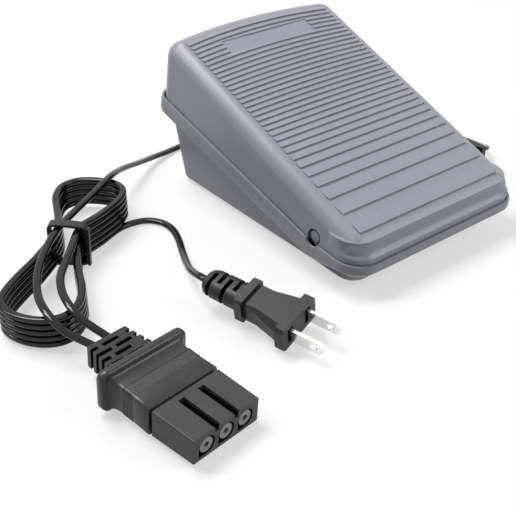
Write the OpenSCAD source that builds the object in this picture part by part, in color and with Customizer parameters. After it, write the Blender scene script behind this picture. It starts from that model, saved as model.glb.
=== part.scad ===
// Sewing machine foot control: a sprung treadle over a wedge-shaped base,
// with its speed control inside, a hanked two-part lead, a two-blade mains
// plug and a three-socket machine connector.
// X runs to the right, Y to the high rear end, Z up from the floor.

/* [Housing] */
// Width of the treadle over its side walls
treadle_w = 110; // [100:1:124]
// Length of the treadle ahead of the pivot, along the slope
treadle_front = 25.5; // [23:0.5:29]
// Length of the treadle behind the pivot, along the slope
treadle_rear = 126.6; // [118:0.2:136]
// Height of the tread surface above the pivot
tread_h = 14.8; // [13.5:0.1:17]
// Extra rise of the tread over the slope of the parting plane
tread_rise = 6.3; // [5:0.1:7.5]
// Slope of the parting plane behind the pivot
part_slope = 14.3; // [13:0.1:15.5]
// Slope of the parting plane ahead of the pivot
front_slope = 4; // [2:0.1:8]
// Bow of the rear edge
rear_bow = 3.7; // [2:0.1:5]
// Radius of the treadle's corners and long edges
edge_r = 8; // [6.5:0.1:9]
// Wall of the treadle
treadle_wall = 2.4; // [1.8:0.1:3]
// Wall of the base
base_wall = 2.2; // [1.8:0.1:2.8]
// Gap between the skirt of the treadle and the rim of the base
rim_gap = 0.4; // [0.3:0.05:0.8]
// How far the lip stands ahead of the front wall
lip_out = 2.8; // [2:0.1:4]

/* [Ribs] */
// Number of ribs on the tread
rib_count = 32; // [20:1:34]
// Height of a rib
rib_h = 0.7; // [0.4:0.05:1]
// Width of the ribbed field
rib_w = 92; // [80:1:96]
// Pitch of the closest ribs
rib_pitch = 3.24; // [3.1:0.02:3.3]
// How much wider the pitch of the first ribs is
rib_spread = 9; // [7:0.1:9.5]
// Width of the bare panel between the rear ribs
panel_w = 56; // [44:1:64]
// Depth of the bare panel, front to back
panel_d = 9.6; // [8:0.1:12]

/* [Pivot] */
// Height of the pivot above the floor
pivot_z = 21; // [20:0.1:23]
// Diameter of a pivot pin
pin_d = 5.5; // [4.5:0.1:6]
// Radial clearance of a pivot pin in the treadle
pin_gap = 0.06; // [0.03:0.01:0.1]
// Diameter of the recess round a pivot pin's end
pin_recess_d = 8.2; // [7:0.1:8.6]
// Depth of that recess
pin_recess = 2.2; // [1.4:0.1:2.4]
// Travel of the treadle
press_angle = 3; // [2:0.1:3]

/* [Return springs] */
// Diameter of a return spring over its coils
spring_d = 12; // [10:0.5:14]
// Wire of a return spring
spring_wire = 1.2; // [0.9:0.1:1.5]
// Turns of a return spring
spring_turns = 7; // [5:1:8]

/* [Speed control] */
// Width of the circuit board
board_w = 56; // [52:1:60]
// Length of the circuit board
board_l = 62; // [60:1:66]
// Thickness of the circuit board
board_t = 1.6; // [1.2:0.1:2]
// Height of the board's pillars above the floor of the base
board_lift = 5; // [4:0.5:7]
// Diameter of the control's plunger
plunger_d = 6; // [5:0.1:7]
// Running clearance round the plunger
plunger_gap = 0.1; // [0.05:0.01:0.15]
// Outer diameter of the suppression choke
choke_d = 18; // [16:0.5:20]

/* [Cords] */
// Width of the flat twin cord
cord_w = 3.6; // [3.4:0.1:4]
// Thickness of the flat twin cord
cord_t = 2.7; // [2.5:0.1:2.8]
// Width of the cable tie
tie_w = 5; // [4:0.5:6]
// Thickness of the cable tie
tie_t = 1.2; // [1:0.1:1.4]

/* [Plug and connector] */
// Distance between the plug's blades
blade_pitch = 12.7; // [12:0.1:13.4]
// Height of a blade
blade_h = 6.35; // [6:0.05:6.6]
// Thickness of a blade
blade_t = 1.5; // [1.3:0.1:1.7]
// Length of a blade outside the plug
blade_l = 16; // [15:0.5:18]
// Distance between the connector's sockets
socket_pitch = 10; // [9.4:0.1:10.6]
// Bore of a socket
socket_bore = 2.6; // [2:0.1:3.2]
// Outer diameter of a socket's sleeve
socket_d = 6.4; // [5.6:0.1:6.8]

/* [Hidden] */

$fn = 48;
eps = 0.01;
// A cut runs this far past the face that it opens
over = 1;
grey_top = [0.60, 0.61, 0.65];
grey_base = [0.55, 0.56, 0.60];
black = [0.10, 0.10, 0.11];
steel = [0.78, 0.79, 0.80];
brass = [0.80, 0.68, 0.35];
board_green = [0.10, 0.38, 0.22];
copper = [0.72, 0.42, 0.20];

// ---- housing: derived places -------------------------------------------------
half_w = treadle_w / 2;
pivot_y = -50.5;
// The parting plane lies this far under the pivot, square to the slope
part_drop = 2.5;
// The skirt of the treadle ends this far under the parting plane
skirt_in = 0.5;
skirt_w = -part_drop - skirt_in;
// The side walls lean in by this much up to the tread
side_draft = 1;
corner_x = half_w - edge_r;
// Centres of the edge balls, along the slope
front_ball_v = edge_r - treadle_front + 0.9;
rear_ball_v = treadle_rear - 5;
foot_h = 3;
// The base's outline follows the lip, whose corners are rounder
lip_r = 12;
lip_v = -treadle_front - lip_out;
// The rim stands this much further back, clear of the treadle's leaning rear wall
rim_back = 0.9;
floor_t = 2.2;
floor_z = foot_h + floor_t;

function tread_w(v) = tread_h + v * tan(tread_rise);

// Places given along the slope: X, distance v up the slope, height w square to it
module on_slope() {
    translate([0, pivot_y, pivot_z]) rotate([part_slope, 0, 0]) children();
}
// The same along the shallower slope ahead of the pivot
module on_front() {
    translate([0, pivot_y, pivot_z]) rotate([front_slope, 0, 0]) children();
}
function placed(pts, w, slope) = [for (p = pts)
    [p[0], pivot_y + p[1] * cos(slope) - w * sin(slope), pivot_z + p[1] * sin(slope) + w * cos(slope)]];

// Points of an arc about c from angle a to angle b
function arc(c, r, a, b, n = 8) =
    [for (i = [0:n]) let (t = a + (b - a) * i / n) c + r * [cos(t), sin(t)]];

// Ring at height w round lip and skirt, at height wf in front, grown outwards by g:
// straight front, a point on each side where the two slopes are mitred, bowed rear set back
function rim_ring(w, wf, g) =
    let (
        fx = half_w - lip_r,
        fr = lip_r + g,
        rr = max(edge_r + g, 1),
        rx = half_w + g - rr,
        rv = treadle_rear + rim_back + g - rr,
        big = (rx * rx + rear_bow * rear_bow) / (2 * rear_bow),
        turn = asin(rx / big),
        bow = arc([0, rv + rear_bow - big], big + rr, 90 - turn, 90 + turn, 14),
        fold = w * tan((part_slope - front_slope) / 2)
    )
    concat(
        placed(arc([fx, lip_v + lip_r], fr, -90, 0), wf, front_slope),
        placed(concat([[half_w + g, fold]], arc([rx, rv], rr, 0, 90 - turn), [for (i = [1:13]) bow[i]],
                      arc([-rx, rv], rr, 90 + turn, 180), [[-half_w - g, fold]]), w, part_slope),
        placed(arc([-fx, lip_v + lip_r], fr, 180, 270), wf, front_slope)
    );

// Faces of a solid through rings of n points, m rings
function fan(l) = [for (i = [1:len(l) - 2]) [l[0], l[i + 1], l[i]]];
function side_faces(n, m) = [for (j = [0:m - 2], i = [0:n - 1]) let (a = j * n + i, b = j * n + (i + 1) % n)
    each [[a, b, a + n], [b, b + n, a + n]]];
function end_faces(n, m) = [for (i = [1:n - 2]) [(m - 1) * n, (m - 1) * n + i, (m - 1) * n + i + 1]];

// Round-ended bar and rounded block used by several pieces
module rounded_block(size, r) {
    x = size[0] / 2 - r;
    y = size[1] / 2 - r;
    linear_extrude(size[2]) union() {
        square([size[0] - 2 * r, size[1]], center = true);
        square([size[0], size[1] - 2 * r], center = true);
        for (sx = [-1, 1], sy = [-1, 1]) translate([sx * x, sy * y]) circle(r);
    }
}

// ---- treadle -------------------------------------------------------------------
// Closed form inside the treadle's walls, set in by t, down to height low
module cover_form(t, low) {
    bow_steps = 4;
    r = edge_r - t;
    hull() {
        for (s = [-1, 1]) {
            translate([s * (corner_x - side_draft), front_ball_v,
                       tread_w(front_ball_v) - edge_r / cos(tread_rise)])
                rotate([tread_rise, 0, 0]) sphere(r, $fn = 32);
            translate([s * corner_x, edge_r - treadle_front, low]) cylinder(r = r, h = 1, $fn = 32);
        }
        for (i = [-bow_steps:bow_steps]) let (x = corner_x * i / bow_steps,
                bow = rear_bow * (1 - pow(i / bow_steps, 2)),
                ball = rear_ball_v + bow) {
            translate([x * (1 - side_draft / corner_x), ball, tread_w(ball) - edge_r / cos(tread_rise)])
                rotate([tread_rise, 0, 0]) sphere(r, $fn = 32);
            translate([x, treadle_rear - edge_r + bow, low]) cylinder(r = r, h = 1, $fn = 32);
        }
    }
}

// Front lip: a ledge that sweeps up into the front wall
lip_steps = [[0.2, 0], [1.0, -0.5], [1.9, -1.9], [3.8, -2.9], [7.5, -3.5]];
lip_back = -10;
module lip_outline(inset) {
    x = half_w + inset * 0.12 - lip_r;
    v = lip_v - inset + lip_r;
    translate([0, v]) for (s = [-1, 1]) translate([s * x, 0]) circle(lip_r, $fn = 64);
    translate([-x, lip_v - inset]) square([2 * x, lip_back - lip_v + inset]);
    translate([-x - lip_r, v]) square([2 * (x + lip_r), lip_back - v]);
}
module lip() {
    translate([0, 0, skirt_w]) linear_extrude(lip_steps[0][0] - skirt_w) lip_outline(0);
    for (i = [1:len(lip_steps) - 1]) hull() {
        for (k = [i - 1, i])
            translate([0, 0, lip_steps[k][0] - eps]) linear_extrude(eps) lip_outline(lip_steps[k][1]);
    }
}

// Place of rib i along the tread, its pitch to the next and its bow
rib_ease = 0.75;
rib_first = -17.5;
function rib_step(i) = rib_pitch + rib_spread * pow(rib_ease, i);
function rib_at(i) = i == 0 ? 0 : rib_at(i - 1) + rib_step(i - 1);
function rib_bow(i) = rear_bow * pow(i / (rib_count - 1), 2);
// The bare panel starts this far ahead of the fourth rib from the rear
panel_lead = 2.6;
panel_s = rib_at(rib_count - 4) - panel_lead;

module rib(i) {
    bow = rib_bow(i);
    half = rib_w / 2;
    run = min(0.85 * rib_step(i), 7);
    profile = [[0, -0.3], [0, rib_h], [run, 0], [run, -0.3]];
    if (bow < 0.3)
        translate([-half, rib_at(i), 0]) rotate([90, 0, 90]) linear_extrude(rib_w) polygon(profile);
    else {
        big = (half * half + bow * bow) / (2 * bow);
        turn = asin(half / big);
        translate([0, rib_at(i) + bow - big, 0]) rotate([0, 0, 90 - turn])
            rotate_extrude(angle = 2 * turn) translate([big, 0]) polygon(profile);
    }
}
module on_tread(v) {
    translate([0, v, tread_w(v)]) rotate([tread_rise, 0, 0]) children();
}
module ribs() {
    on_tread(rib_first) difference() {
        for (i = [0:rib_count - 1]) rib(i);
        translate([-panel_w / 2, panel_s, -over]) cube([panel_w, panel_d, over + rib_h + over]);
    }
}

// Pads and hooks under the tread
press_y = 14;
spring_x = 37;
spring_y = 34;
hook_x = 24;
hook_w = 7;
shelf_y = 59.5;
shelf_z = 24;
hook_gap = 0.3;
spring_top = 34;
press_z = 34;
bearing_l = 2.6;
bearing_r = 6;

module stop_hook(s) {
    translate([s * hook_x - hook_w / 2, shelf_y - 3, shelf_z - hook_gap - 3.5]) {
        cube([hook_w, 2.2, 70]);
        cube([hook_w, 7, 3.5]);
    }
}
module under_parts() {
    for (s = [-1, 1]) {
        translate([s * spring_x, spring_y, spring_top]) difference() {
            cylinder(d = spring_d + 4, h = 60);
            translate([0, 0, -over]) cylinder(d = spring_d + 1, h = over + 5);
        }
        stop_hook(s);
    }
    translate([0, press_y, press_z]) rounded_block([14, 10, 60], 2);
}

module treadle() {
    color(grey_top) difference() {
        union() {
            difference() {
                union() {
                    difference() {
                        on_slope() cover_form(0, skirt_w);
                        on_front() translate([-200, -200, skirt_w - 200]) cube([400, 400, 200]);
                    }
                    on_front() lip();
                }
                on_slope() cover_form(treadle_wall, skirt_w - over);
            }
            on_slope() ribs();
            // what hangs from the tread, cut to its inside
            intersection() {
                on_slope() cover_form(treadle_wall / 2, -60);
                under_parts();
            }
            // bearings for the pivot pins
            on_slope() for (s = [0, 1]) mirror([s, 0, 0])
                translate([half_w - treadle_wall - bearing_l, 0, 0]) rotate([0, 90, 0])
                    cylinder(r = bearing_r, h = bearing_l + eps);
        }
        on_slope() for (s = [0, 1]) mirror([s, 0, 0]) {
            translate([half_w - treadle_wall - bearing_l - over, 0, 0]) rotate([0, 90, 0])
                cylinder(d = pin_d + 2 * pin_gap, h = 20);
            translate([half_w - pin_recess, 0, 0]) rotate([0, 90, 0]) cylinder(d = pin_recess_d, h = 20);
        }
    }
}

// ---- base ----------------------------------------------------------------------
// Steps of the rim's outer face: height w, height in front where the rim is
// shallower, growth of the ring
rim_faces = [[-part_drop, -part_drop, 1.2], [-part_drop - 0.8, -part_drop - 0.8, 1.6], [-5, -5, 1.8],
             [-9.5, -6.6, 1.7], [-10.8, -7.2, 1.2], [-18, -14, -6.4]];
rim_low = rim_faces[len(rim_faces) - 1];
// Inside of the rim: straight down past the skirt's travel, then in
rim_well = skirt_w - (treadle_rear + rear_bow) * sin(press_angle) - 0.35;
rim_well_front = -6.8;
wedge_side = half_w - 6;
wedge_rear = 67.5;
wedge_front = -70;
wedge_r = 9;

// Ring of the wedge's outline on the floor, with a point for each of the rim's
function foot_ring(inset, z) =
    let (x = wedge_side - wedge_r, y0 = wedge_front + wedge_r, y1 = wedge_rear - wedge_r, r = wedge_r - inset)
    [for (p = concat(arc([x, y0], r, -90, 0), [[x + r, pivot_y]], arc([x, y1], r, 0, 90),
                     [for (i = [1:13]) [x * (1 - i / 7), y1 + r]], arc([-x, y1], r, 90, 180),
                     [[-x - r, pivot_y]], arc([-x, y0], r, 180, 270))) [p[0], p[1], z]];
// Solid through such rings from the rim down, its top folded at the mitre
module wedge_skin(rings) {
    n = len(rings[0]);
    m = len(rings);
    front = concat([for (i = [n - 10:n - 1]) i], [for (i = [0:9]) i]);
    rear = [for (i = [9:n - 10]) i];
    polyhedron([for (r = rings) each r], concat(fan(front), fan(rear), side_faces(n, m), end_faces(n, m)),
               convexity = 6);
}
module base_outside() {
    wedge_skin(concat([for (f = rim_faces) rim_ring(f[0], f[1], f[2])], [foot_ring(0, foot_h - over)]));
}
module base_inside() {
    wedge_skin([rim_ring(over, over, rim_gap), rim_ring(rim_well, rim_well_front, rim_gap),
                rim_ring(rim_low[0] - 0.5, rim_low[1] - 0.5, rim_low[2] - base_wall), foot_ring(base_wall, floor_z - 3 * over)]);
}
module above(z) {
    translate([-200, -200, z]) cube([400, 400, 200]);
}

lug_l = 6;
lug_gap = 0.4;
lug_x = half_w - treadle_wall - bearing_l - lug_gap - lug_l;
lug_w = 11;
module pivot_lug() {
    translate([lug_x, pivot_y, pivot_z]) rotate([0, 90, 0]) cylinder(d = lug_w, h = lug_l);
    translate([lug_x, pivot_y - lug_w / 2, floor_z - eps]) cube([lug_l, lug_w, pivot_z - floor_z]);
}

board_x = 0;
board_y = 12;
board_z = floor_z + board_lift;
hole_in = 3.5;
board_holes = [for (sx = [-1, 1], sy = [-1, 1])
    [board_x + sx * (board_w / 2 - hole_in), board_y + sy * (board_l / 2 - hole_in)]];
screw_d = 2.9;
// Clearance round a screw's core in its pillar, and of a foot in its seat
screw_gap = 0.05;
foot_gap = 0.05;
spring_seat_z = 12;

outlet_y = -25.3;
outlet_z = 9.5;
outlet_w = 14;
outlet_h = 11;
clamp_x = 34;
clamp_l = 7;
clamp_w = 22;
// The cord's two cores run on inside, each this thick
core_d = 2;
core_gap = 0.4;

// Feet sit in shallow round seats
foot_d = 13;
foot_seat = 0.8;
foot_places = [[-36, -56], [36, -56], [-36, 54], [36, 54]];

module base_shell() {
    color(grey_base) difference() {
        union() {
            difference() {
                intersection() {
                    base_outside();
                    above(foot_h);
                }
                intersection() {
                    base_inside();
                    above(floor_z);
                }
            }
            for (s = [0, 1]) mirror([s, 0, 0]) pivot_lug();
            for (h = board_holes) translate([h[0], h[1], floor_z - eps]) cylinder(d = 6.5, h = board_lift + eps);
            // spring seats with a centring post
            for (s = [-1, 1]) translate([s * spring_x, spring_y, floor_z - eps]) {
                cylinder(d = spring_d + 3, h = spring_seat_z - floor_z + eps);
                cylinder(d = spring_d - 2 * spring_wire - 1, h = spring_seat_z - floor_z + 4);
            }
            // shelves that hold the treadle's hooks
            for (s = [-1, 1]) translate([s * hook_x, 0, 0]) {
                translate([-hook_w / 2 - 1, shelf_y, shelf_z]) cube([hook_w + 2, 9, 2.5]);
                for (k = [-1, 1]) translate([k * (hook_w / 2 + 1.6) - 0.8, shelf_y, floor_z - eps])
                    cube([1.6, 5, shelf_z - floor_z + 2.5]);
            }
            // pillars of the cord clamp
            for (k = [-1, 1]) translate([clamp_x, outlet_y + k * (clamp_w / 2 - 3), floor_z - eps])
                cylinder(d = 6, h = outlet_z + core_d / 2 - floor_z);
        }
        // notches round the pivot pins' recesses
        on_slope() for (s = [0, 1]) mirror([s, 0, 0]) translate([half_w + 9.8, 0, 0]) rotate([0, -90, 0])
            cylinder(d = pin_recess_d + 0.6, h = 10);
        // pressed seats of the pivot pins
        for (s = [-1, 1]) translate([s * (lug_x + lug_l / 2), pivot_y, pivot_z]) rotate([0, 90, 0])
            cylinder(d = pin_d, h = lug_l + 2 * over, center = true);
        // outlet through the right wall
        translate([half_w - 16, outlet_y - outlet_w / 2 + 1.5, outlet_z - outlet_h / 2 + 1.2])
            cube([20, outlet_w - 3, outlet_h - 2.4]);
        for (h = board_holes) translate([h[0], h[1], floor_z]) cylinder(d = screw_d + 2 * screw_gap, h = board_lift + over);
        for (k = [-1, 1]) translate([clamp_x, outlet_y + k * (clamp_w / 2 - 3), floor_z - 1])
            cylinder(d = screw_d + 2 * screw_gap, h = 12);
        for (p = foot_places) translate([p[0], p[1], foot_h - over]) cylinder(d = foot_d + 2 * foot_gap, h = over + foot_seat);
    }
}

module rubber_feet() {
    color(black) for (p = foot_places) translate([p[0], p[1], 0]) {
        cylinder(d1 = foot_d - 2, d2 = foot_d, h = 1);
        translate([0, 0, 1]) cylinder(d = foot_d, h = foot_h + foot_seat - 1);
    }
}

module pivot_pin(s) {
    x0 = lug_x;
    x1 = half_w - 0.8;
    color(grey_base) translate([s > 0 ? x0 : -x1, pivot_y, pivot_z]) rotate([0, 90, 0])
        cylinder(d = pin_d, h = x1 - x0);
}
module pivot_pin_left() { pivot_pin(-1); }
module pivot_pin_right() { pivot_pin(1); }

// ---- springs ---------------------------------------------------------------------
// Skin of a tube: rings of points, closed at both ends
module skin(rings) {
    n = len(rings[0]);
    m = len(rings);
    polyhedron([for (r = rings) each r], concat(fan([for (i = [0:n - 1]) i]), side_faces(n, m), end_faces(n, m)),
               convexity = 10);
}

// A helix from height 0 to h, standing on its end
module coil_spring(d, wire, h, turns, sides = 6, steps = 14) {
    r = (d - wire) / 2;
    rise = (h - wire) / turns;
    tilt = atan(rise / (2 * PI * r));
    n = turns * steps;
    rings = [for (j = [0:n]) let (a = 360 * j / steps, z = wire / 2 + (h - wire) * j / n)
        [for (i = [0:sides - 1]) let (t = 360 * i / sides,
                out = wire / 2 * cos(t), up = wire / 2 * sin(t))
            [(r + out) * cos(a) + up * sin(tilt) * sin(a),
             (r + out) * sin(a) - up * sin(tilt) * cos(a),
             z + up * cos(tilt)]]];
    skin(rings);
}
module return_spring(s) {
    color(steel) translate([s * spring_x, spring_y, spring_seat_z])
        coil_spring(spring_d, spring_wire, spring_top + 5 - spring_seat_z, spring_turns);
}
module return_spring_left() { return_spring(-1); }
module return_spring_right() { return_spring(1); }

// ---- speed control -----------------------------------------------------------------
board_top = board_z + board_t;
housing_w = 18;
housing_d = 12;
housing_h = 13;
plunger_foot = board_top + 3;
// The plunger stands this far under the treadle's pad
press_gap = 0.25;
plunger_head = press_z - press_gap;
flange_t = 1.5;

module circuit_board() {
    color(board_green) difference() {
        translate([board_x, board_y, board_z]) rounded_block([board_w, board_l, board_t], 1.5);
        for (h = board_holes) translate([h[0], h[1], board_z - over]) cylinder(d = screw_d + 0.4, h = board_t + 2 * over);
    }
}
module pan_screw(shank_d, head_d, head_h, shank_l) {
    translate([0, 0, -shank_l]) cylinder(d = shank_d, h = shank_l);
    difference() {
        cylinder(d = head_d, h = head_h);
        translate([-head_d, -0.4, head_h - 0.8]) cube([2 * head_d, 0.8, over]);
    }
}
module board_screws() {
    color(steel) for (h = board_holes) translate([h[0], h[1], board_top])
        pan_screw(screw_d, 5.4, 1.8, board_t + board_lift - 0.5);
}
module control_housing() {
    color([0.82, 0.80, 0.74]) translate([0, press_y, board_top]) difference() {
        rounded_block([housing_w, housing_d, housing_h], 1);
        // well for plunger, spring and wiper
        translate([0, 0, 1.4]) cylinder(d = plunger_d + 3.6, h = housing_h - 1.4 - 2);
        cylinder(d = plunger_d + 2 * plunger_gap, h = housing_h + over);
        translate([0, -housing_d / 2 - over, 1.4]) translate([-2.2, 0, 0]) cube([4.4, housing_d / 2, housing_h - 3.4]);
    }
}
module control_plunger() {
    z0 = board_top + housing_h - 2 - flange_t - 0.2;
    color([0.92, 0.92, 0.90]) translate([0, press_y, 0]) {
        translate([0, 0, z0]) cylinder(d = plunger_d, h = plunger_head - z0 - 1);
        translate([0, 0, z0]) cylinder(d = plunger_d + 2.8, h = flange_t);
        translate([0, 0, plunger_head - 1]) cylinder(d1 = plunger_d, d2 = plunger_d - 1.6, h = 1);
    }
}
module control_spring() {
    z1 = board_top + housing_h - 2 - flange_t - 0.2;
    color(steel) translate([0, press_y, board_top + 1.4])
        coil_spring(plunger_d + 0.6, 0.7, z1 - board_top - 1.4, 4, 6, 10);
}
module wiper_contact() {
    z0 = board_top + housing_h - 2 - flange_t - 0.2;
    color(brass) translate([0, press_y, z0]) {
        translate([-1.6, -(plunger_d + 2.8) / 2 - 2.0, 0]) cube([3.2, 2.6, 0.5]);
        translate([-1.6, -(plunger_d + 2.8) / 2 - 2.0, -2.4]) cube([3.2, 0.5, 2.4 + eps]);
    }
}

triac_x = 9;
triac_y = 36;
module heat_sink() {
    color([0.72, 0.73, 0.75]) translate([triac_x - 9, triac_y, board_top]) {
        cube([18, 1.8, 17]);
        for (k = [0:3]) translate([k * 5.4, 0, 0]) cube([1.8, 6, 17]);
    }
}
module triac() {
    color(black) translate([triac_x - 5, triac_y - 4.5, board_top + 3]) difference() {
        union() {
            cube([10, 4.5, 9]);
            translate([0, 3.2, 0]) cube([10, 1.3, 13.5]);
        }
    }
    color(steel) for (k = [-1, 0, 1]) translate([triac_x + k * 2.54 - 0.4, triac_y - 2.4, board_top])
        cube([0.8, 0.6, 3 + eps]);
}
module capacitor() {
    color([0.75, 0.55, 0.18]) translate([18.6, 24.5, board_top]) rounded_block([17, 8, 12], 1);
}
choke_x = -15;
choke_y = 30;
choke_h = 5;
choke_wire = 0.9;
choke_gap = 0.3;
choke_in = choke_d / 4 + 0.5;
choke_out = choke_d / 2 - 1;
choke_z = board_top + choke_h / 2 + choke_gap + choke_wire + 0.02;
module choke_core() {
    color([0.35, 0.36, 0.38]) translate([choke_x, choke_y, choke_z - choke_h / 2]) rotate_extrude()
        translate([choke_in, 0]) square([choke_out - choke_in, choke_h]);
}
// Winding: one wire carried round the ring of the core
module choke_winding() {
    turns = 14;
    steps = 10;
    off = choke_gap + choke_wire / 2;
    mid = (choke_in + choke_out) / 2;
    half_r = (choke_out - choke_in) / 2 + off;
    half_h = choke_h / 2 + off;
    function flat(v) = max(-1, min(1, 1.4 * v));
    function path(j) = let (a = 300 * j / turns / steps + 30, t = 360 * (j + 0.5) / steps, r = mid + half_r * flat(cos(t)))
        [r * cos(a), r * sin(a), half_h * flat(sin(t))];
    color(copper) translate([choke_x, choke_y, choke_z])
        tube([for (j = [0:turns * steps]) path(j)], choke_wire, choke_wire, 6);
}
module resistors() {
    places = [[-18, 7, 90], [-18, -6, 90], [18, 2, 0], [18, 8, 0]];
    color([0.70, 0.62, 0.48]) for (p = places) translate([p[0], p[1], board_top + 1.6]) rotate([0, 0, p[2]]) {
        rotate([0, 90, 0]) cylinder(d = 2.6, h = 6.5, center = true);
        rotate([0, 90, 0]) cylinder(d = 0.7, h = 11, center = true);
        for (k = [-1, 1]) translate([k * 5.3, 0, -1.6]) cylinder(d = 0.7, h = 1.6);
    }
}
block_x = 8;
block_y = -11;
module terminal_block() {
    color([0.16, 0.36, 0.62]) translate([block_x, block_y, board_top]) difference() {
        rounded_block([16, 8, 9], 0.8);
        for (k = [-1, 1]) translate([k * 4, 0, 3]) {
            cylinder(d = 3.4, h = 10);
            rotate([90, 0, 0]) translate([0, 0.6, -1]) cylinder(d = 2.6, h = 8);
        }
    }
}
module terminal_screws() {
    color(steel) for (k = [-1, 1]) translate([block_x + k * 4, block_y, board_top + 5.5]) difference() {
        cylinder(d = 3.4, h = 2.4);
        translate([-3, -0.3, 1.7]) cube([6, 0.6, over]);
    }
}

// ---- cord outlet, clamp and inner leads ----------------------------------------------
outlet_end = 87.8;
outlet_in = half_w - 9.5;
module cord_outlet() {
    lip_x = half_w + 1.6;
    rib_n = 6;
    neck_w = outlet_w - 3;
    neck_h = outlet_h - 2.4;
    ribbed = outlet_end - lip_x - 4;
    color(black) translate([0, outlet_y, outlet_z]) {
        // neck through the wall
        translate([outlet_in, -neck_w / 2, -neck_h / 2]) cube([lip_x - outlet_in + eps, neck_w, neck_h]);
        // end block and ribbed length
        difference() {
            translate([lip_x, -outlet_w / 2, -outlet_h / 2]) cube([outlet_end - lip_x, outlet_w, outlet_h]);
            for (k = [0:rib_n - 1], s = [-1, 1]) translate([lip_x + 3 + k * ribbed / rib_n, 0, 0]) {
                translate([0, s > 0 ? 3.4 : -outlet_w, -outlet_h]) cube([2.2, outlet_w - 3.4, 2 * outlet_h]);
            }
        }
    }
}
module cord_clamp() {
    bar_t = 3;
    z = outlet_z + core_d / 2;
    color([0.9, 0.9, 0.88]) difference() {
        translate([clamp_x, outlet_y, z]) rounded_block([clamp_l, clamp_w, bar_t], 1.5);
        for (k = [-1, 1]) translate([clamp_x, outlet_y + k * (clamp_w / 2 - 3), z - over])
            cylinder(d = screw_d + 0.4, h = bar_t + 2 * over);
    }
}
module clamp_screws() {
    color(steel) for (k = [-1, 1]) translate([clamp_x, outlet_y + k * (clamp_w / 2 - 3), outlet_z + core_d / 2 + 3])
        pan_screw(screw_d, 5.4, 1.8, 9);
}

// ---- tubes along a route -------------------------------------------------------------
function unit(v) = v / norm(v);
function ends_kept(pts, i) = unit(pts[min(i + 1, len(pts) - 1)] - pts[max(i - 1, 0)]);
// Ring of an oval section about p, its width kept across the run and level
function oval_ring(p, dir, w, t, sides) =
    let (across = unit(cross(dir, [0, 0, 1])), up = cross(across, dir))
    [for (i = [0:sides - 1]) let (a = 360 * (i + 0.5) / sides)
        p + across * (w / 2 * cos(a)) + up * (t / 2 * sin(a))];
function rings(pts, w, t, sides) =
    [for (i = [0:len(pts) - 1]) oval_ring(pts[i], ends_kept(pts, i), w, t, sides)];
module tube(pts, w, t, sides) {
    skin(rings(pts, w, t, sides));
}
// Smooth curve through chosen points
function spline(p0, p1, p2, p3, t) =
    0.5 * ((2 * p1) + (p2 - p0) * t + (2 * p0 - 5 * p1 + 4 * p2 - p3) * t * t
           + (3 * p1 - p0 - 3 * p2 + p3) * t * t * t);
function curve(pts, steps) = let (n = len(pts) - 1)
    [for (i = [0:n - 1], k = [0:steps - 1])
        spline(i > 0 ? pts[i - 1] : 2 * pts[0] - pts[1], pts[i], pts[i + 1],
               i + 2 <= n ? pts[i + 2] : 2 * pts[n] - pts[n - 1], k / steps), pts[n]];

module inner_leads() {
    color([0.55, 0.30, 0.22]) for (k = [-1, 1]) {
        apart = k * (core_d + core_gap) / 2;
        end = [block_x + k * 4, block_y - 4, board_top + 4];
        tube(curve([[outlet_in, outlet_y + apart, outlet_z], [40, outlet_y + apart, outlet_z],
                    [30, outlet_y + apart, outlet_z], [22, outlet_y + 2 * apart, outlet_z + 1],
                    [end[0] + 2, outlet_y + 4 + k, outlet_z + 4], [end[0], end[1] - 4, end[2]], end], 3),
             core_d, core_d, 6);
    }
}

// ---- plug and connector: where they lie ------------------------------------------------
// Each lies on the floor with its own axis Z towards its front, X to its right, Y up
module laid(at, turn, dip, roll) {
    translate(at) rotate([0, 0, turn]) rotate([dip, 0, 0]) rotate([0, -roll, 0]) rotate([90, 0, 0]) children();
}
// Direction in which such a piece points
function pointing(turn, dip) = [sin(turn) * cos(dip), -cos(turn) * cos(dip), -sin(dip)];

plug_at = [-105, -37.5, 11.8];
plug_turn = 16;
plug_dip = 3.3;
plug_roll = 12;
connector_at = [-162.2, -46.8, 9.6];
connector_turn = 9;
connector_dip = 2.2;
connector_roll = -2.5;
// The two leads enter the connector this far either side of its middle
lead_apart = 4;
// A lead runs straight for this long where it meets a piece
straight = 4;

function plug_entry(out) = plug_at - out * pointing(plug_turn, plug_dip);
function connector_entry(side, out) = connector_at
    + side * lead_apart * [cos(connector_turn) * cos(connector_roll), sin(connector_turn) * cos(connector_roll), sin(connector_roll)]
    - out * pointing(connector_turn, connector_dip);

// ---- the lead's hank --------------------------------------------------------------------
// Line of one turn, from the waist's right side round the lower loop, back through
// the waist's left side and round the upper loop
hank_line = [
    [-133.2, 25.5], [-143, 11.5], [-148.5, -1], [-153.5, -12.5], [-160, -21], [-168, -25],
    [-176, -23], [-182.5, -16.5], [-186, -8], [-185.5, -0.5], [-180, 6], [-170, 13],
    [-157.2, 20.2], [-141.8, 32], [-134.8, 43.5], [-130, 54], [-125, 64], [-117.5, 71],
    [-108.5, 71], [-101, 65], [-95.5, 56], [-96.5, 47], [-104, 39.5], [-118, 32.5]
];
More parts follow.
